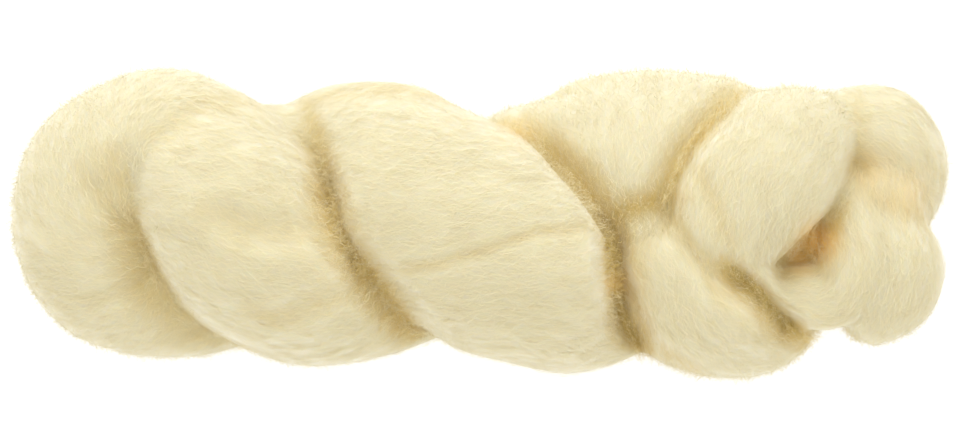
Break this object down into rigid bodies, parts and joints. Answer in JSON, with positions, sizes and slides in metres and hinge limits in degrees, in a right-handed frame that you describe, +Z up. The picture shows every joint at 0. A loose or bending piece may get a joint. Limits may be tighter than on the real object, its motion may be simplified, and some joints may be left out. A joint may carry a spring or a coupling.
{
  "type": "twisted hank of wool roving",
  "caption": "Thick bundle of natural wool roving, twisted and doubled back on itself into a two-ply hank, its end tucked through a loop at one end.",
  "frame": {"origin": "centre of the hank's bounding box, on the surface it rests on", "axes": "+X along the hank from the left-hand bend to the end loop, +Z up from the surface"},
  "size_m": [0.3068, 0.1032, 0.0833],
  "materials": {
    "wool": "matte, soft undyed wool"
  },
  "bodies": {
    "root": {"roving_hank": "wool"}
  },
  "joints": []
}
